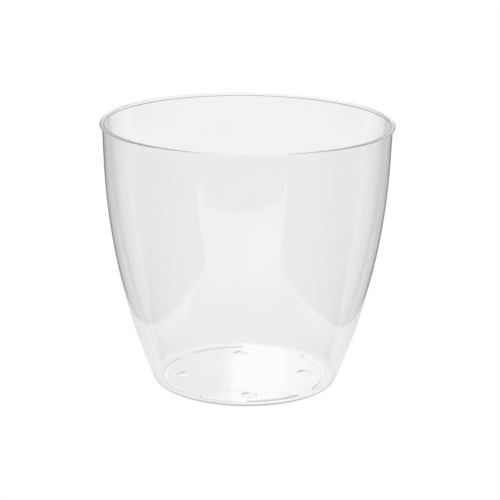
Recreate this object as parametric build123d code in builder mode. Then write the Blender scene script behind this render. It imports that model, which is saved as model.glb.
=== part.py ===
from build123d import *
import os
from math import radians, tan

# A clear, bellied orchid pot: one thin moulding, made here as the four regions that its own form has.
# The origin is on the ground at the pot's axis, +Z points up, and lengths are in millimetres.

# Overall sizes
rim_diameter = 130.0        # across the bead at the top
pot_height = 118.3
foot_radius = 41.3          # where the wall's outline would meet the ground if its heel weren't rounded
skin = 1.0                  # thickness of the wall, the heel and the floor

# Top edge
bead_reach = 1.0            # how far the bead stands out past the wall
bead_height = 1.4
bead_round = 0.45           # rounding of the bead's two outer corners
lip_round = 0.3             # rounding of the inner corner of the top edge

# Wall: a short straight stretch under the top edge, then one long arc down to the foot
straight_height = 17.0
draft_angle = 2.3           # degrees that the straight stretch leans outward

# Heel: the rounded turn between the wall and the floor
heel_round = 2.0
heel_land = 0.9             # flat ground contact inside the rounding that still belongs to the heel
heel_height = 4.0

# Floor: curved slots near the edge, round drain holes further in, all on one turned cross
pattern_turn = 4.5          # degrees from +X to the first hole
slot_count = 4
slot_width = 1.8
slot_sweep = 72.0           # degrees between the centres of a slot's round ends
slot_land = 1.4             # floor that is left between a slot and the floor's edge
drain_count = 4
drain_diameter = 6.8
drain_inset = 8.5           # from the slots' circle in to the drain holes' circle

overrun = 5.0               # how far helper shapes run past what they trim

# Worked-out places
rim_radius = rim_diameter / 2
wall_top_radius = rim_radius - bead_reach
bead_bottom = pot_height - bead_height
lean = tan(radians(draft_angle))
shoulder_height = pot_height - straight_height
shoulder_radius = wall_top_radius - lean * straight_height
floor_radius = foot_radius - heel_round - heel_land
slot_radius = floor_radius - slot_land - slot_width / 2
drain_circle_radius = slot_radius - drain_inset

os.makedirs("parts", exist_ok=True)

# Half section of the whole skin. Its outer outline runs down the wall and in along the ground to the axis,
# and the skin's thickness lies inside it. The top runs past the rim, and each region trims its own stretch.
with BuildSketch(Plane.XZ) as skin_section:
    with BuildLine() as outline:
        rim_stretch = Line(
            (wall_top_radius + lean * overrun, pot_height + overrun),
            (shoulder_radius, shoulder_height),
        )
        belly = TangentArc(rim_stretch @ 1, (foot_radius, 0), tangent=rim_stretch % 1)
        ground_stretch = Line((foot_radius, 0), (0, 0))
        foot_corner = outline.vertices().sort_by_distance((foot_radius, 0))[0]
        fillet(foot_corner, heel_round)
        offset(amount=skin, side=Side.RIGHT)
    make_face()

# Rim bead: the top of the skin, thickened outward, with rounded corners
with BuildPart() as rim_bead:
    with BuildSketch(Plane.XZ) as rim_section:
        add(skin_section.sketch_local)
        with Locations((0, bead_bottom)):
            Rectangle(rim_diameter, bead_height, align=Align.MIN, mode=Mode.INTERSECT)
        with Locations((rim_radius, bead_bottom)):
            Rectangle(bead_reach + skin / 2, bead_height, align=(Align.MAX, Align.MIN))
        bead_corners = rim_section.vertices().group_by(Axis.X)[-1]
        fillet(bead_corners, bead_round)
        lip_corner = rim_section.vertices().group_by(Axis.Y)[-1].sort_by(Axis.X)[0]
        fillet(lip_corner, lip_round)
    revolve(axis=Axis.Z)
rim_bead.part.label = "rim_bead"
export_step(rim_bead.part, "parts/rim_bead.step")

# Side wall: the skin between the heel and the bead, cut square to the axis at both ends
with BuildPart() as side_wall:
    with BuildSketch(Plane.XZ):
        add(skin_section.sketch_local)
        with Locations((0, heel_height)):
            Rectangle(rim_diameter, bead_bottom - heel_height, align=Align.MIN, mode=Mode.INTERSECT)
    revolve(axis=Axis.Z)
side_wall.part.label = "side_wall"
export_step(side_wall.part, "parts/side_wall.step")

# Heel ring: the rounded turn, from the floor's edge up to where the plain wall starts
with BuildPart() as heel_ring:
    with BuildSketch(Plane.XZ):
        add(skin_section.sketch_local)
        with Locations((floor_radius, 0)):
            Rectangle(rim_diameter, heel_height, align=Align.MIN, mode=Mode.INTERSECT)
    revolve(axis=Axis.Z)
heel_ring.part.label = "heel_ring"
export_step(heel_ring.part, "parts/heel_ring.step")

# Floor disc: flat, with the drain holes and the curved slots right through it
with BuildPart() as floor_disc:
    with BuildSketch():
        Circle(floor_radius)
        with PolarLocations(drain_circle_radius, drain_count, start_angle=pattern_turn):
            Circle(drain_diameter / 2, mode=Mode.SUBTRACT)
        for index in range(slot_count):
            slot_start = pattern_turn + index * 360 / slot_count - slot_sweep / 2
            slot_line = CenterArc((0, 0), slot_radius, slot_start, slot_sweep)
            SlotArc(slot_line, slot_width, mode=Mode.SUBTRACT)
    extrude(amount=skin)
floor_disc.part.label = "floor_disc"
export_step(floor_disc.part, "parts/floor_disc.step")

for piece in (rim_bead, side_wall, heel_ring, floor_disc):
    box = piece.part.bounding_box()
    print(
        f"{piece.part.label}: {piece.part.volume:.1f} mm3, {len(piece.part.solids())} solid,",
        f"z {box.min.Z:.2f} to {box.max.Z:.2f}, reach {box.max.X:.2f}",
    )
print(f"belly arc radius {belly.radius:.1f} mm, slot circle radius {slot_radius:.1f} mm")
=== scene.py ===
# %% [markdown]
# # A clear orchid pot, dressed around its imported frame
# The real object is one thin moulding of clear plastic: a bellied wall with a small bead round its top edge,
# a rounded heel, and a flat floor that is pierced by four curved slots and four round drain holes.
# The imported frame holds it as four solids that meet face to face. Clear plastic would show those meeting
# faces, so this lesson makes the whole skin as one closed mesh that stands for all four.

# %% Load the fixed frame
from math import pi, radians

import bmesh
import bpy
from mathutils import Matrix, Vector


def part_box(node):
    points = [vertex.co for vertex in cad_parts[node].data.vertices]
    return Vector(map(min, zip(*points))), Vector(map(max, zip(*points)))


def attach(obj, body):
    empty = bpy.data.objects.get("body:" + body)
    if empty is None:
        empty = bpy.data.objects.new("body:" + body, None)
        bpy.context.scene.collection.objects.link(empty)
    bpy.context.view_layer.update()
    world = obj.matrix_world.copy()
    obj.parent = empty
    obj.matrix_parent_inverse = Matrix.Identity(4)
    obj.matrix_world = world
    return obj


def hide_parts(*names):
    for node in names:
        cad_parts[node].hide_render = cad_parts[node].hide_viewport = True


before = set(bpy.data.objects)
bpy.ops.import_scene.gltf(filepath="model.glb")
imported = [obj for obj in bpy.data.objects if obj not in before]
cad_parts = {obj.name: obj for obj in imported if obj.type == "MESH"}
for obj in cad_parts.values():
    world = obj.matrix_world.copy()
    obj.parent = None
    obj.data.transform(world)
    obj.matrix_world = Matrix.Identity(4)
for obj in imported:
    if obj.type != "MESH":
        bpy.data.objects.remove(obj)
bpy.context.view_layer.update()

# %% [markdown]
# ## Sizes
# Blender works in metres, in the frame's own place. What the frame already has is read from it, so that the
# pot can't drift away from its solids. What it can't tell, such as roundings, is named here.

# %% Sizes of the pot
mm = 0.001
bead_low, bead_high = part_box("rim_bead")
_, floor_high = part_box("floor_disc")

hair = 0.01 * mm                   # keeps the round rim inside the frame's slightly faceted one
rim_radius = min(bead_high.x, bead_high.y) - hair
pot_height = bead_high.z
bead_height = bead_high.z - bead_low.z
skin = floor_high.z
floor_radius = floor_high.x
bead_reach = 1.0 * mm              # how far the bead stands out past the wall
straight_height = 17.0 * mm        # the plain stretch under the top edge
draft = radians(2.3)               # its outward lean
foot_radius = 41.3 * mm            # where the wall would meet the ground if the heel weren't rounded
heel_round = 2.0 * mm
print(f"rim radius {rim_radius / mm:.2f} mm, height {pot_height / mm:.2f} mm, skin {skin / mm:.2f} mm")

# %% [markdown]
# ## A short way to write node trees
# Both Geometry Nodes and shaders are trees of nodes. Adding each Math node by hand makes a script long and
# hard to read, so one small class wraps a socket and gives it Python's own signs: writing `a * b + 1` adds
# the nodes. A second class holds the tree and has one method for any other node.

# %% Sockets that do maths
class Field:
    """A socket of a node tree that can be used in a Python expression."""

    def __init__(self, sketch, socket):
        self.sketch = sketch
        self.socket = socket

    def __add__(self, other):
        return self.sketch.maths("ADD", self, other)

    def __radd__(self, other):
        return self.sketch.maths("ADD", other, self)

    def __sub__(self, other):
        return self.sketch.maths("SUBTRACT", self, other)

    def __rsub__(self, other):
        return self.sketch.maths("SUBTRACT", other, self)

    def __mul__(self, other):
        return self.sketch.maths("MULTIPLY", self, other)

    def __rmul__(self, other):
        return self.sketch.maths("MULTIPLY", other, self)

    def __truediv__(self, other):
        return self.sketch.maths("DIVIDE", self, other)

    def __rtruediv__(self, other):
        return self.sketch.maths("DIVIDE", other, self)

    def __neg__(self):
        return self.sketch.maths("MULTIPLY", self, -1.0)

    def __gt__(self, other):
        return self.sketch.maths("GREATER_THAN", self, other)

    def __lt__(self, other):
        return self.sketch.maths("LESS_THAN", self, other)


print("fields ready")

# %% A tree that is being drawn
class Sketch:
    """A node tree that is being drawn."""

    def __init__(self, tree):
        self.tree = tree

    def node(self, kind, settings=None, sockets=None):
        """Adds one node: its settings come first, then a value or a link for each socket that is named."""
        made = self.tree.nodes.new(kind)
        for name, value in (settings or {}).items():
            if name == "items":
                # A new Index Switch has fewer items than are needed
                while len(made.index_switch_items) < value:
                    made.index_switch_items.new()
            else:
                setattr(made, name, value)
        for name, value in (sockets or {}).items():
            self.feed(made.inputs[name], value)
        return made

    def feed(self, socket, value):
        """Links a field to a socket, or sets the socket's own value."""
        if isinstance(value, Field):
            self.tree.links.new(value.socket, socket)
        else:
            socket.default_value = value

    def get(self, kind, settings=None, sockets=None, output=0):
        """Adds one node and returns one of its outputs as a field."""
        return Field(self, self.node(kind, settings, sockets).outputs[output])

    def maths(self, operation, *values):
        """Adds one Math node."""
        return self.get("ShaderNodeMath", {"operation": operation}, dict(enumerate(values)))

    def vector(self, x=0.0, y=0.0, z=0.0):
        """Puts three numbers together as one vector."""
        return self.get("ShaderNodeCombineXYZ", None, {"X": x, "Y": y, "Z": z})


print("node helpers ready")

# %% [markdown]
# ## The section of the skin
# A turned shape is easiest to draw as one half section. A bezier drawn by hand would do, but its roundings
# would be guesses. Here the section is a line with a few sharp corners, each with its own radius, and Fillet
# Curve rounds them: the belly itself is one very large rounding between the straight stretch and the foot.
# The skin's two sides share the centres of their arcs, so the wall keeps its thickness all the way down.

# %% Section corners from the named sizes
def section_corners(sketch, size):
    """The corners of the half section, inside to outside: radius from the axis, height, rounding, steps."""
    lean_sin = sketch.maths("SINE", size["Draft"])
    lean_cos = sketch.maths("COSINE", size["Draft"])
    wall_top = size["Rim radius"] - size["Bead reach"]
    shoulder_z = size["Height"] - size["Straight height"]
    shoulder_r = wall_top - size["Straight height"] * lean_sin / lean_cos

    # The arc that leaves the shoulder along the straight stretch and passes through the foot
    run_r = size["Foot radius"] - shoulder_r
    run_z = -shoulder_z
    belly = -(run_r * run_r + run_z * run_z) / (2.0 * (run_r * lean_cos - run_z * lean_sin))
    centre_r = shoulder_r - belly * lean_cos
    centre_z = shoulder_z + belly * lean_sin

    # The heel's arc touches the ground and the belly's arc from inside
    heel = size["Heel rounding"]
    leave = sketch.maths("ARCSINE", (centre_z - heel) / (belly - heel))
    heel_r = centre_r + (belly - heel) * sketch.maths("COSINE", leave)
    belly_half = sketch.maths("TANGENT", (leave - size["Draft"]) / 2.0)
    heel_half = sketch.maths("TANGENT", (pi / 2 - leave) / 2.0)

    def side(depth):
        """Belly corner and heel corner of the outline that lies depth inside the outer one."""
        reach = (belly - depth) * belly_half
        belly_corner = (
            shoulder_r - depth * lean_cos - reach * lean_sin,
            shoulder_z + depth * lean_sin - reach * lean_cos,
            belly - depth,
            size["Belly steps"],
        )
        heel_corner = (heel_r + (heel - depth) * heel_half, depth, heel - depth, size["Round steps"])
        return belly_corner, heel_corner

    def wall_r(z, depth):
        """Where the straight stretch's outline is at a height."""
        return wall_top + (z - size["Height"]) * lean_sin / lean_cos - depth / lean_cos

    inner_belly, inner_heel = side(size["Skin"])
    outer_belly, outer_heel = side(0.0)
    top, under = size["Height"], size["Height"] - size["Bead height"]
    lip, root, steps = size["Lip rounding"], size["Root rounding"], size["Round steps"]
    lip_end, root_end = top - lip - size["Hold"], under - root - size["Hold"]
    return [
        (size["Floor radius"], size["Skin"], 0.0, 1),
        inner_heel,
        inner_belly,
        (wall_r(lip_end, size["Skin"]), lip_end, 0.0, 1),
        (wall_r(top, size["Skin"]), top, lip, steps),
        (size["Rim radius"], top, size["Crown rounding"], steps),
        (size["Rim radius"], under, size["Bead rounding"], steps),
        (wall_r(under, 0.0), under, root, steps),
        (wall_r(root_end, 0.0), root_end, 0.0, 1),
        outer_belly,
        outer_heel,
        (size["Floor radius"], 0.0, 0.0, 1),
    ]


print("section corners ready")

# %% A curve through rounded corners
def by_index(sketch, kind, values):
    """A value for each point of a line, picked by the point's index."""
    sockets = {"Index": sketch.get("GeometryNodeInputIndex")}
    sockets |= {str(number): value for number, value in enumerate(values)}
    return sketch.get("GeometryNodeIndexSwitch", {"data_type": kind, "items": len(values)}, sockets)


def cornered_curve(sketch, corners, closed=False):
    """A line through the corners in its own flat plane, with each corner rounded by its own radius."""
    places = [sketch.vector(across, up) for across, up, _, _ in corners]
    roundings = [rounding for _, _, rounding, _ in corners]
    counts = [count for _, _, _, count in corners]
    line = sketch.get("GeometryNodeMeshLine", None, {"Count": len(corners)})
    curve = sketch.get("GeometryNodeMeshToCurve", None, {"Mesh": line})
    if closed:
        curve = sketch.get("GeometryNodeSetSplineCyclic", None, {"Geometry": curve, "Cyclic": True})
    sockets = {"Geometry": curve, "Position": by_index(sketch, "VECTOR", places)}
    sockets = {"Curve": sketch.get("GeometryNodeSetPosition", None, sockets)}
    sockets |= {"Radius": by_index(sketch, "FLOAT", roundings), "Count": by_index(sketch, "INT", counts)}
    return sketch.get("GeometryNodeFilletCurve", {"mode": "POLY"}, sockets)


def section_curve(sketch, corners):
    """A rounded section for Curve to Mesh, which turns a section's own upward direction down."""
    return cornered_curve(sketch, [(across, -up, *rest) for across, up, *rest in corners])


print("curve helpers ready")

# %% [markdown]
# ## The pot as one tree
# A Geometry Nodes tree keeps the sizes as its named inputs, so the pot can be changed without touching the
# tree. Sizes are plain numbers in metres or radians, and counts say how finely each round stretch is divided.

# %% Sizes that the tree takes
pot_sizes = {
    "Rim radius": rim_radius,
    "Height": pot_height,
    "Skin": skin,
    "Bead reach": bead_reach,
    "Bead height": bead_height,
    "Straight height": straight_height,
    "Draft": draft,
    "Foot radius": foot_radius,
    "Floor radius": floor_radius,
    "Heel rounding": heel_round,
    "Crown rounding": 0.75 * mm,
    "Bead rounding": 0.45 * mm,
    "Lip rounding": 0.6 * mm,
    "Root rounding": 0.2 * mm,
    "Hold": 0.15 * mm,             # flat strip beside a rounding, which keeps its shading off wide faces
    "Edge rounding": 0.15 * mm,    # of the holes and slots
    "Drain radius": 3.4 * mm,
    "Drain circle": 27.6 * mm,
    "Slot circle": 36.1 * mm,
    "Slot half width": 0.9 * mm,
    "Slot half sweep": radians(36.0),
    "Pattern turn": radians(4.5),
}
pot_counts = {"Belly steps": 56, "Round steps": 6, "Hole steps": 48, "Turn steps": 360, "Places": 4}
merge_reach = 0.002 * mm           # points that lie closer than this become one


def named_inputs(tree):
    """Gives the tree one input for each size and each count of the pot."""
    for values, kind in ((pot_sizes, "NodeSocketFloat"), (pot_counts, "NodeSocketInt")):
        for name, value in values.items():
            tree.interface.new_socket(name, in_out="INPUT", socket_type=kind).default_value = value


print(f"{len(pot_sizes)} sizes and {len(pot_counts)} counts")

# %% [markdown]
# ## The turned skin and the rims of the holes
# Curve to Mesh turns the section about the axis: it carries it round a circle of the foot's radius, which
# needs no Spin and leaves no seam. A hole's rim is swept the same way, as a small rounded section carried
# round the hole's outline. One drain hole and one slot are made, and the pair is turned to each of its four
# places. Cutting the holes out of a finished floor would work too, but it leaves their edges sharp, and clear
# plastic shows each edge.

# %% Sweeps
def circle(sketch, steps, radius):
    """A round path."""
    return sketch.get("GeometryNodeCurvePrimitiveCircle", None, {"Resolution": steps, "Radius": radius})


def swept(sketch, path, section):
    """The surface that a section leaves when it is carried along a path."""
    return sketch.get("GeometryNodeCurveToMesh", None, {"Curve": path, "Profile Curve": section})


def moved(sketch, geometry, offset):
    """A geometry, shifted."""
    return sketch.get("GeometryNodeTransform", None, {"Geometry": geometry, "Translation": offset})


def joined(sketch, parts):
    """Several geometries as one."""
    join = sketch.node("GeometryNodeJoinGeometry")
    for part in parts:
        sketch.feed(join.inputs["Geometry"], part)
    return Field(sketch, join.outputs["Geometry"])


def turned_skin(sketch, size):
    """The wall with its bead and heel: the section carried round the axis."""
    corners = [(r - size["Foot radius"], z, *rest) for r, z, *rest in section_corners(sketch, size)]
    turn = circle(sketch, size["Turn steps"], size["Foot radius"])
    return swept(sketch, turn, section_curve(sketch, corners))


print("sweep helpers ready")

# %% Rims of the holes and slots
def rim_section(sketch, size):
    """The rounded wall of a hole, from the floor's top face round to its underside."""
    edge, top, steps = size["Edge rounding"], size["Skin"], size["Round steps"]
    out = edge + size["Hold"]
    corners = [
        (out, top, 0.0, 1),
        (edge, top, 0.0, 1),
        (0.0, top, edge, steps),
        (0.0, 0.0, edge, steps),
        (edge, 0.0, 0.0, 1),
        (out, 0.0, 0.0, 1),
    ]
    return section_curve(sketch, corners)


def slot_outline(sketch, size):
    """A curved slot's outline: two long arcs and two round ends, each a rounded corner."""
    half, sweep = size["Slot half width"], size["Slot half sweep"]
    sweep_sin, sweep_cos = sketch.maths("SINE", sweep), sketch.maths("COSINE", sweep)
    outer, inner = size["Slot circle"] + half, size["Slot circle"] - half

    def end(radius, sign):
        """A corner that lies half a width past the end of an arc."""
        across = radius * sweep_cos - half * sweep_sin
        along = sign * (radius * sweep_sin + half * sweep_cos)
        return across, along, half, size["Round steps"]

    corners = [
        end(inner, -1.0),
        end(outer, -1.0),
        (outer / sweep_cos, 0.0, outer, size["Hole steps"]),
        end(outer, 1.0),
        end(inner, 1.0),
        (inner / sweep_cos, 0.0, inner, size["Hole steps"]),
    ]
    return cornered_curve(sketch, corners, closed=True)


def hole_rims(sketch, size):
    """The walls of all holes and slots: one of each is made, and the pair is turned to each place."""
    section = rim_section(sketch, size)
    drain = swept(sketch, circle(sketch, size["Hole steps"], size["Drain radius"]), section)
    drain = moved(sketch, drain, sketch.vector(size["Drain circle"]))
    slot = swept(sketch, slot_outline(sketch, size), section)
    sockets = {"Count": size["Places"], "Offset": (0.0, 0.0, 0.0)}
    places = sketch.get("GeometryNodeMeshLine", None, sockets)
    index = sketch.get("GeometryNodeInputIndex")
    turned = sketch.vector(z=index * (2 * pi) / size["Places"] + size["Pattern turn"])
    sockets = {"Points": places, "Instance": joined(sketch, [drain, slot]), "Rotation": turned}
    rims = sketch.get("GeometryNodeInstanceOnPoints", None, sockets)
    return sketch.get("GeometryNodeRealizeInstances", None, {"Geometry": rims})


print("rim helpers ready")

# %% [markdown]
# ## The floor between them
# What is left open is the floor itself. Mesh to Curve reads the open edges at one height, and Fill Curve
# closes the surface between them, so the floor always meets the wall and the holes exactly. A flat disc with
# its own holes could be laid there, but then every point would have to be matched by hand.

# %% The whole tree
def filled(sketch, shells, height, test):
    """The flat face at a height between the open edges whose own height passes the test."""
    faces = sketch.get("GeometryNodeInputMeshEdgeNeighbors")
    z = sketch.get("ShaderNodeSeparateXYZ", None, {0: sketch.get("GeometryNodeInputPosition")}, "Z")
    sockets = {0: faces < 2.0, 1: test(z)}
    is_open = sketch.get("FunctionNodeBooleanMath", {"operation": "AND"}, sockets)
    loops = sketch.get("GeometryNodeMeshToCurve", None, {"Mesh": shells, "Selection": is_open})
    flat = sketch.get("GeometryNodeFillCurve", {"mode": "TRIANGLES"}, {"Curve": loops})
    return moved(sketch, flat, sketch.vector(z=height))


def pot_tree(material):
    """The whole pot, from its named sizes."""
    tree = bpy.data.node_groups.new("pot_maker", "GeometryNodeTree")
    tree.is_modifier = True
    named_inputs(tree)
    tree.interface.new_socket("Pot", in_out="OUTPUT", socket_type="NodeSocketGeometry")
    sketch = Sketch(tree)
    group = sketch.node("NodeGroupInput")
    size = {name: Field(sketch, group.outputs[name]) for name in (*pot_sizes, *pot_counts)}

    shells = joined(sketch, [turned_skin(sketch, size), hole_rims(sketch, size)])
    middle = size["Skin"] / 2.0
    upper = filled(sketch, shells, size["Skin"], lambda z: z > middle)
    lower = filled(sketch, shells, 0.0, lambda z: z < middle)
    lower = sketch.get("GeometryNodeFlipFaces", None, {"Mesh": lower})
    whole = joined(sketch, [shells, upper, lower])
    sockets = {"Geometry": whole, "Distance": merge_reach}
    whole = sketch.get("GeometryNodeMergeByDistance", None, sockets)
    whole = sketch.get("GeometryNodeSetShadeSmooth", None, {"Geometry": whole})
    whole = sketch.get("GeometryNodeRealizeInstances", None, {"Geometry": whole})
    whole = sketch.get("GeometryNodeSetMaterial", None, {"Geometry": whole, "Material": material})
    sketch.node("NodeGroupOutput", None, {"Pot": whole})
    return tree


print("pot tree helpers ready")

# %% [markdown]
# ## Helpers for shaders
# A soft step between two places is what most of the patterns below are made of. A colour ramp would do, but
# its stops hide in the node, while a Map Range node takes its two ends as plain numbers. Another helper tells
# a path of light that has mirrored off something from one that has only passed through: the Light Path node's
# Glossy Depth counts it. A picture of clear plastic needs that, as the part on the table explains.

# %% Soft steps
def about(middle, soft):
    """A span that reaches equally far to both sides of its middle."""
    return middle - soft, middle + soft


def soft_step(sketch, value, span):
    """0 before the span, 1 after it and smooth between."""
    settings = {"interpolation_type": "SMOOTHSTEP", "clamp": True}
    sockets = {"Value": value, "From Min": span[0], "From Max": span[1]}
    return sketch.get("ShaderNodeMapRange", settings, sockets)


def band(sketch, value, rise, drop):
    """0 before the rise, 1 between the rise and the drop, and 0 after the drop."""
    return soft_step(sketch, value, rise) * (1.0 - soft_step(sketch, value, drop))


print("soft steps ready")

# %% Mirrored paths, colours and places
colour_a, colour_b, colour_out = 6, 7, 2  # where the Mix node has its sockets for colours


def bare_sketch(owner):
    """The emptied tree of a material or a world, ready to be drawn."""
    owner.use_nodes = True
    owner.node_tree.nodes.clear()
    return Sketch(owner.node_tree)


def mixed_colour(sketch, share, first, second):
    """A colour between two others."""
    sockets = {"Factor": share, colour_a: first, colour_b: second}
    return sketch.get("ShaderNodeMix", {"data_type": "RGBA"}, sockets, colour_out)


def glossy_depth(sketch):
    """How often the path has mirrored off something on its way."""
    return sketch.get("ShaderNodeLightPath", None, None, "Glossy Depth")


def has_mirrored(sketch):
    """1 for a path that has mirrored off something, and 0 for one that only passed through."""
    return glossy_depth(sketch) > 0.0


def seen_or_mirrored(sketch, level):
    """Pure white for a path that only passed through, and the level for one that has mirrored."""
    return 1.0 - has_mirrored(sketch) * (1.0 - level)


def place_fields(sketch, kind):
    """Coordinates of one kind, whole and as three fields."""
    place = sketch.get("ShaderNodeTexCoord", None, None, kind)
    parts = sketch.node("ShaderNodeSeparateXYZ", None, {0: place})
    return place, *(Field(sketch, parts.outputs[name]) for name in "XYZ")


print("shader helpers ready")

# %% [markdown]
# ## Marks of moulding on clear plastic
# The pot is moulded in clear, colourless plastic. Clear things look dull when they are perfect, so three
# faint marks of moulding and handling lie over it: a cloudiness in the colour, scuffs in the roughness, and
# flow lines and a shallow waviness in the bump. An image could hold them, but noise needs no file and has no
# edge. All of it reads Object coordinates, so that it stays on the pot, and the flow lines are noise drawn
# out up the wall.

# %% Cloudiness, scuffs and flow lines
cloud_scale, cloud_detail = 45.0, 2.0  # a scale is in lumps per metre
cloudy_tint, clear_tint = (0.987, 0.987, 0.989, 1.0), (0.998, 0.998, 1.0, 1.0)
scuff_scale, scuff_detail, scuff_span = 900.0, 4.0, (0.5, 0.75)
smooth_rough, scuffed_rough = 0.015, 0.05
flow_scale, flow_detail, flow_stretch, flow_height = 140.0, 1.0, (1.0, 1.0, 0.06), 0.004 * mm
wave_scale, wave_detail, wave_height = 60.0, 0.0, 0.02 * mm


def noise(sketch, place, scale, detail):
    """One layer of noise."""
    return sketch.get("ShaderNodeTexNoise", None, {"Vector": place, "Scale": scale, "Detail": detail}, "Fac")


def moulding_marks(sketch, place):
    """Base colour, roughness and normal of smooth moulded plastic."""
    colour = mixed_colour(sketch, noise(sketch, place, cloud_scale, cloud_detail), cloudy_tint, clear_tint)
    scuffs = soft_step(sketch, noise(sketch, place, scuff_scale, scuff_detail), scuff_span)
    roughness = scuffs * (scuffed_rough - smooth_rough) + smooth_rough
    along = sketch.get("ShaderNodeMapping", None, {"Vector": place, "Scale": flow_stretch})
    flow = noise(sketch, along, flow_scale, flow_detail) * flow_height
    height = flow + noise(sketch, place, wave_scale, wave_detail) * wave_height
    normal = sketch.get("ShaderNodeBump", None, {"Strength": 1.0, "Distance": 1.0, "Height": height})
    return colour, roughness, normal


print(f"flow lines {flow_height / mm:.3f} mm high, waviness {wave_height / mm:.3f} mm")

# %% [markdown]
# ## The clear plastic itself
# A Glass shader would give one flat tint, but the Principled shader carries over to other programs, so it is
# used with its Transmission at one. Its index is that of the plastic, 1.58. A thick edge of clear plastic
# looks darker than a thin wall, which a little Volume Absorption gives.
#
# Light that enters the cut wall of a slot runs on inside the floor, bounce after bounce, and leaves it
# somewhere far off. A render stops after a few bounces and paints that path black, so the slots would look
# inked. Here a Mix Shader lets such a path go straight on after a few mirrorings, and after one in the thin
# floor.

# %% Clear plastic
plastic_index = 1.58
plastic_tint = (0.0, 0.0, 0.03, 1.0)  # what is left of white light after a very long way inside
plastic_density = 12.0             # per metre: a wall of one millimetre takes about a hundredth
floor_top = (1.1 * mm, 1.3 * mm)   # just above the floor's upper face
floor_bounces, wall_bounces = 0.5, 2.5  # a path goes straight on after more mirrorings than this


def clear_plastic():
    """Clear moulded plastic, tinted a little by its thickness."""
    made = bpy.data.materials.new("clear_moulded_plastic")
    sketch = bare_sketch(made)
    place, _, _, z = place_fields(sketch, "Object")
    colour, roughness, normal = moulding_marks(sketch, place)
    sockets = {"Base Color": colour, "Roughness": roughness, "Normal": normal}
    sockets |= {"IOR": plastic_index, "Transmission Weight": 1.0}
    solid = sketch.get("ShaderNodeBsdfPrincipled", None, sockets)
    straight = sketch.get("ShaderNodeBsdfTransparent")
    bounces = soft_step(sketch, z, floor_top) * (wall_bounces - floor_bounces) + floor_bounces
    sockets = {0: glossy_depth(sketch) > bounces, 1: solid, 2: straight}
    surface = sketch.get("ShaderNodeMixShader", None, sockets)
    sockets = {"Color": plastic_tint, "Density": plastic_density}
    inside = sketch.get("ShaderNodeVolumeAbsorption", None, sockets)
    sketch.node("ShaderNodeOutputMaterial", None, {"Surface": surface, "Volume": inside})
    return made


plastic = clear_plastic()
print(f"{plastic.name}: {len(plastic.node_tree.nodes)} nodes")

# %% [markdown]
# ## Make the pot
# A tree does nothing by itself, so a holder object carries it as a modifier. Each input is set by its
# identifier, then the evaluated holder is read back as a plain mesh and the holder is thrown away. Applying
# the modifier with an operator would do the same, but it needs the right object to be selected.

# %% Make the pot
def made_by(tree, name):
    """The plain mesh that a Geometry Nodes tree makes, as an object at the origin."""
    holder = bpy.data.objects.new(name + "_holder", bpy.data.meshes.new(name + "_holder"))
    bpy.context.scene.collection.objects.link(holder)
    modifier = holder.modifiers.new("maker", "NODES")
    modifier.node_group = tree
    for item in tree.interface.items_tree:
        if item.in_out == "INPUT":
            modifier[item.identifier] = (pot_sizes | pot_counts)[item.name]
    evaluated = holder.evaluated_get(bpy.context.evaluated_depsgraph_get())
    mesh = bpy.data.meshes.new_from_object(evaluated)
    mesh.name = name
    bpy.data.objects.remove(holder)
    made = bpy.data.objects.new(name, mesh)
    bpy.context.scene.collection.objects.link(made)
    return made


pot = made_by(pot_tree(plastic), "orchid_pot")
print(f"{pot.name}: {len(pot.data.vertices)} points")

# %% [markdown]
# ## Check the mesh
# Glass shows every fault of its mesh: an open edge lets light in wrongly, and a face that points inward bends
# it the wrong way. So the faces are turned outward once more, and the open edges and the volume are printed.
# The volume should match that of the frame's four solids, about 47 600 cubic millimetres.

# %% Check the mesh
shape = bmesh.new()
shape.from_mesh(pot.data)
bmesh.ops.recalc_face_normals(shape, faces=shape.faces)
open_edges = sum(1 for edge in shape.edges if len(edge.link_faces) != 2)
print(f"{len(shape.verts)} points, {len(shape.faces)} faces, {open_edges} open edges")
print(f"volume {shape.calc_volume(signed=True) / mm ** 3:.0f} mm3")
shape.to_mesh(pot.data)
shape.free()

# %% [markdown]
# ## What the plastic mirrors
# A clear pot has almost no colour of its own. What draws it is the room that its walls mirror, while the
# ground seen through it stays white. In the photograph the pot stands on a pale sheet that is narrower than
# the room: the bright waisted patch on the front wall is the sheet, and the two grey lobes beside it are the
# table. The sheet's edges are read off the patch: they draw in a little in front of the pot, spread wide
# further on and end in two drawn-out corners.
#
# Lamps and cards round the pot could make such a pattern, but each would be seen through the plastic as well.
# So the table gives off its own light, in a pattern that only mirrored paths meet, and is plain white to the
# rest. A level is a share of white, and the pot's axis stands at x and y zero, with its front towards -y.

# %% The sheet
sheet_half, sheet_soft = 88.5 * mm, 4.0 * mm
sheet_front = (-327.0 * mm, -267.0 * mm)
front_slant = 0.11                 # how much its front edge slants to the side
corner_across, corner_reach = (140.0 * mm, 200.0 * mm), 45.0 * mm
waist_start = 60.0 * mm            # how far in front of the axis its long edges start to draw in
waist_left, waist_right = 0.05, 0.17
flare_left_start, flare_right_start = 150.0 * mm, 158.0 * mm
flare_left, flare_right = 1.02, 0.85
sheet_level = 0.95                 # in front of the pot and beside it
near_level = 0.59                  # round the foot, which the pot shades
near_reach, beside_reach = (85.0 * mm, 175.0 * mm), (60.0 * mm, 84.0 * mm)
behind_level, behind_reach = 0.86, (-40.0 * mm, 5.0 * mm)


def long_edge(sketch, out, ahead, waist, flare_start, flare):
    """1 inside one of the sheet's long edges, which draws in by its waist and then flares out."""
    drawn_in = sketch.maths("MAXIMUM", ahead - waist_start, 0.0) * waist
    spread = sketch.maths("MAXIMUM", ahead - flare_start, 0.0) * flare
    return 1.0 - soft_step(sketch, out - (spread - drawn_in), about(sheet_half, sheet_soft))


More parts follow.
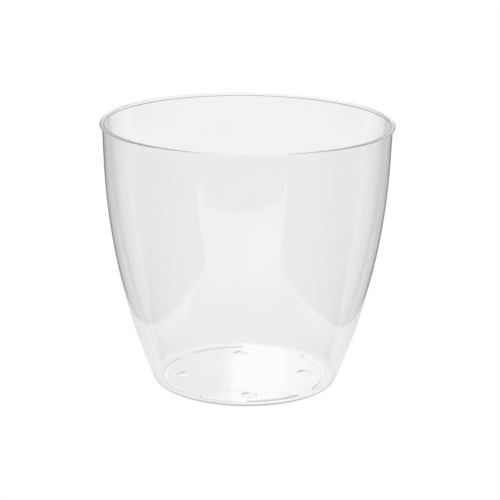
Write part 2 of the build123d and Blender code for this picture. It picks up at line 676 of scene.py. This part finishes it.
def pale_sheet(sketch, x, y, across, far):
    """The sheet under the pot, with its waist, its slanting front edge and its drawn-out corners."""
    left = long_edge(sketch, -x, -y, waist_left, flare_left_start, flare_left)
    right = long_edge(sketch, x, -y, waist_right, flare_right_start, flare_right)
    corner = soft_step(sketch, across, corner_across) * corner_reach
    front = soft_step(sketch, y + x * front_slant + corner, sheet_front)
    away, beside = soft_step(sketch, far, near_reach), soft_step(sketch, across, beside_reach)
    lit = sketch.maths("MAXIMUM", away, beside) * (sheet_level - near_level) + near_level
    behind = soft_step(sketch, y, behind_reach)
    return left * right * front * (lit + behind * (behind_level - lit))


print(f"sheet {2 * sheet_half / mm:.0f} mm wide beside the pot")

# %% Two painted light streaks
# Painted light: two thin bright streaks in the table's light pattern, which only the plastic's mirrored paths
# meet.
side_streak_place, side_streak_lean = (97.0 * mm, -22.0 * mm), 0.2
side_streak_begin = (92.0 * mm, 100.0 * mm)
side_streak_soft, side_streak_fade = (-2.5 * mm, 1.5 * mm), (3.0 * mm, 45.0 * mm)
front_left_streak_place, front_left_streak_lean = (-95.0 * mm, -104.0 * mm), 1.335
front_left_streak_begin, front_left_streak_end = (-96.0 * mm, -92.0 * mm), (-60.0 * mm, -56.0 * mm)
front_left_streak_soft = (1.0 * mm, 7.0 * mm)
side_streak_level, front_left_streak_level = 0.09, 0.22  # what each adds


def behind_line(x, y, place, lean):
    """How far a point lies behind the line that passes a place and leans back to the right."""
    return y - place[1] - (x - place[0]) * lean


def folds(sketch, x, y, across):
    """Painted light streaks in the table's light: one beside the pot, which fades away behind it, and one at
    its front left.
    """
    off = behind_line(across, y, side_streak_place, side_streak_lean)
    side_streak = band(sketch, off, side_streak_soft, side_streak_fade) * soft_step(sketch, across, side_streak_begin)
    off = sketch.maths("ABSOLUTE", behind_line(x, y, front_left_streak_place, front_left_streak_lean))
    front_left_streak = (1.0 - soft_step(sketch, off, front_left_streak_soft)) * band(sketch, x, front_left_streak_begin, front_left_streak_end)
    return side_streak * side_streak_level + front_left_streak * front_left_streak_level


print(f"the ridge adds {side_streak_level:.2f} and the crease {front_left_streak_level:.2f}")

# %% The bare table
front_level = 0.45
far_front = (430.0 * mm, 700.0 * mm)
side_level = 0.54                  # beside and behind the pot
side_start = 30.0 * mm             # how far in front of the axis it begins to be paler
slant_dip = 0.06                   # how much darker it is on the slant, half in front and half beside
wedge_level = 0.2                  # behind, just outside the sheet, which only the wall's edges mirror
wedge_start, wedge_lean = 64.0 * mm, (0.3, 0.42)
wedge_begin = (0.0, 40.0 * mm)
least_y = 1.0 * mm                 # keeps the wedge's lean from a division by zero

# A bearing is 0 straight beside the pot, 1 straight behind it and -1 straight in front
side_bearing, far_bearing = (0.0, 0.6), (0.2, 0.6)
slant_begin, slant_end = (-0.68, -0.48), (-0.25, 0.0)


def bare_table(sketch, y, across, far):
    """The table round the sheet: paler beside and behind the pot, and dark far in front."""
    bearing = y / far
    paler = soft_step(sketch, (y + side_start) / far, side_bearing)
    lit = paler * (side_level - front_level) + front_level
    slant = band(sketch, bearing, slant_begin, slant_end)
    far_away = soft_step(sketch, far, far_front) * (1.0 - soft_step(sketch, bearing, far_bearing))
    lit = (lit - slant * slant_dip) * (1.0 - far_away)
    lean = (across - wedge_start) / sketch.maths("MAXIMUM", y, least_y)
    outside = 1.0 - soft_step(sketch, y, wedge_begin)
    outside = sketch.maths("MAXIMUM", soft_step(sketch, lean, wedge_lean), outside)
    return sketch.maths("MINIMUM", lit, outside * (side_level - wedge_level) + wedge_level)


print(f"bare table {front_level:.2f} in front and {side_level:.2f} beside")

# %% The table
white = (1.0, 1.0, 1.0, 1.0)
table_half, table_drop = 8.0, 0.02 * mm


def table_material():
    """Pure white where it is seen, and the pattern of sheet and table where the plastic mirrors it."""
    made = bpy.data.materials.new("table_top")
    sketch = bare_sketch(made)
    _, x, y, _ = place_fields(sketch, "Object")
    across = sketch.maths("ABSOLUTE", x)
    far = sketch.maths("SQRT", x * x + y * y)
    sheet, bare = pale_sheet(sketch, x, y, across, far), bare_table(sketch, y, across, far)
    # The painted light streaks are added on top of the sheet and the bare table.
    level = sketch.maths("MAXIMUM", sheet, bare) + folds(sketch, x, y, across)
    sockets = {"Color": white, "Strength": seen_or_mirrored(sketch, level)}
    light = sketch.get("ShaderNodeEmission", None, sockets)
    sketch.node("ShaderNodeOutputMaterial", None, {"Surface": light})
    return made


table_mesh = bpy.data.meshes.new("table_top")
ends = (-table_half, table_half)
table_mesh.from_pydata([(x, y, -table_drop) for y in ends for x in ends], [], [(0, 1, 3, 2)])
table = bpy.data.objects.new("table_top", table_mesh)
table.data.materials.append(table_material())
bpy.context.scene.collection.objects.link(table)
print(f"table {2 * table_half:.0f} m square, {table_drop / mm:.2f} mm below the foot")

# %% [markdown]
# ## The studio
# Above the table's edge the plastic mirrors the room. Its front is dark, which gives the rim its black line.
# A pale backdrop stands behind, and a soft ceiling lights the thin slots. An upright window in the backdrop
# shows in the pot's floor as a bright stripe. The backdrop is paler to the window's right than to its left, a
# little darker higher up, and a trace cooler than white, as the floor shows it. An image of a studio would do
# the same, but a world made of soft steps on the direction of the path needs no file.

# %% The studio's world
cool_white = (0.98, 0.98, 1.015, 1.0)
backdrop_level, backdrop_bearing, backdrop_rise = 0.88, (-0.1, 0.8), (0.05, 0.25)
ceiling_level, ceiling_rise = 0.8, (0.6, 0.85)
window_place, window_half, window_soft = 0.01075, 0.02025, 0.0012
window_level, window_rise = 0.5, (0.05, 0.15)  # what the backdrop gains in the window
right_level, right_soft = 0.36, 0.005  # what the backdrop gains to the right of the window
window_behind = 0.5                # the window and what is right of it are only behind the pot
fall_depth, fall_rise = 0.12, (0.34, 0.365)  # how much darker it is higher up


def studio_world():
    """Pure white where it is seen, and a dark front, backdrop, window and ceiling where it is mirrored."""
    world = bpy.data.worlds.new("studio")
    bpy.context.scene.world = world
    sketch = bare_sketch(world)
    _, x, y, z = place_fields(sketch, "Generated")
    bearing = y / sketch.maths("SQRT", x * x + y * y)
    backdrop = soft_step(sketch, bearing, backdrop_bearing) * soft_step(sketch, z, backdrop_rise)
    ceiling = soft_step(sketch, z, ceiling_rise) * ceiling_level
    off = sketch.maths("ABSOLUTE", x - window_place)
    window = 1.0 - soft_step(sketch, off, about(window_half, window_soft))
    right = soft_step(sketch, x, about(window_place + window_half, right_soft))
    extra = window * window_level + right * right_level
    extra = extra * (y > window_behind) * soft_step(sketch, z, window_rise)
    fall = 1.0 - soft_step(sketch, z, fall_rise) * fall_depth
    level = sketch.maths("MAXIMUM", (backdrop * backdrop_level + extra) * fall, ceiling)
    colour = mixed_colour(sketch, has_mirrored(sketch), white, cool_white)
    sockets = {"Color": colour, "Strength": seen_or_mirrored(sketch, level)}
    light = sketch.get("ShaderNodeBackground", None, sockets)
    sketch.node("ShaderNodeOutputWorld", None, {"Surface": light})
    return world


print("world:", studio_world().name)

# %% [markdown]
# ## Camera
# The photograph looks down at the pot by about sixteen degrees from eighty centimetres away. Its place, its
# aim and its focal length were found together, from the rim's ellipse, the outline and the base. The focal
# length is given in pixels of the photograph, so it is turned into millimetres on a sensor of a set width.
# The image is tilted by less than a degree, which one last turn about the line of sight gives.

# %% Camera
eye = Vector((0.0, -803.3, 292.5)) * mm
aim = Vector((1.745, 0.0, 59.4)) * mm
tilt = 0.0116
sensor_width, image_side, focal_pixels = 36.0, 500.0, 1863.2
clip_near, clip_far = 0.05, 20.0

camera_data = bpy.data.cameras.new("camera")
camera_data.sensor_width = sensor_width
camera_data.lens = focal_pixels / image_side * sensor_width
camera_data.clip_start, camera_data.clip_end = clip_near, clip_far
camera = bpy.data.objects.new("camera", camera_data)
bpy.context.scene.collection.objects.link(camera)
faced = (aim - eye).to_track_quat("-Z", "Y").to_matrix().to_4x4()
camera.matrix_world = Matrix.Translation(eye) @ faced @ Matrix.Rotation(tilt, 4, "Z")
bpy.context.scene.camera = camera
bpy.context.scene.view_settings.view_transform = "Standard"
bpy.context.scene.cycles.use_denoising = True
print(f"lens {camera_data.lens:.1f} mm, {(aim - eye).length / mm:.0f} mm from the pot")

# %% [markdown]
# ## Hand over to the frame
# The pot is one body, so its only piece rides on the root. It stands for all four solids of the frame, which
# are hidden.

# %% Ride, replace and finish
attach(pot, "root")
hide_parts("rim_bead", "side_wall", "heel_ring", "floor_disc")
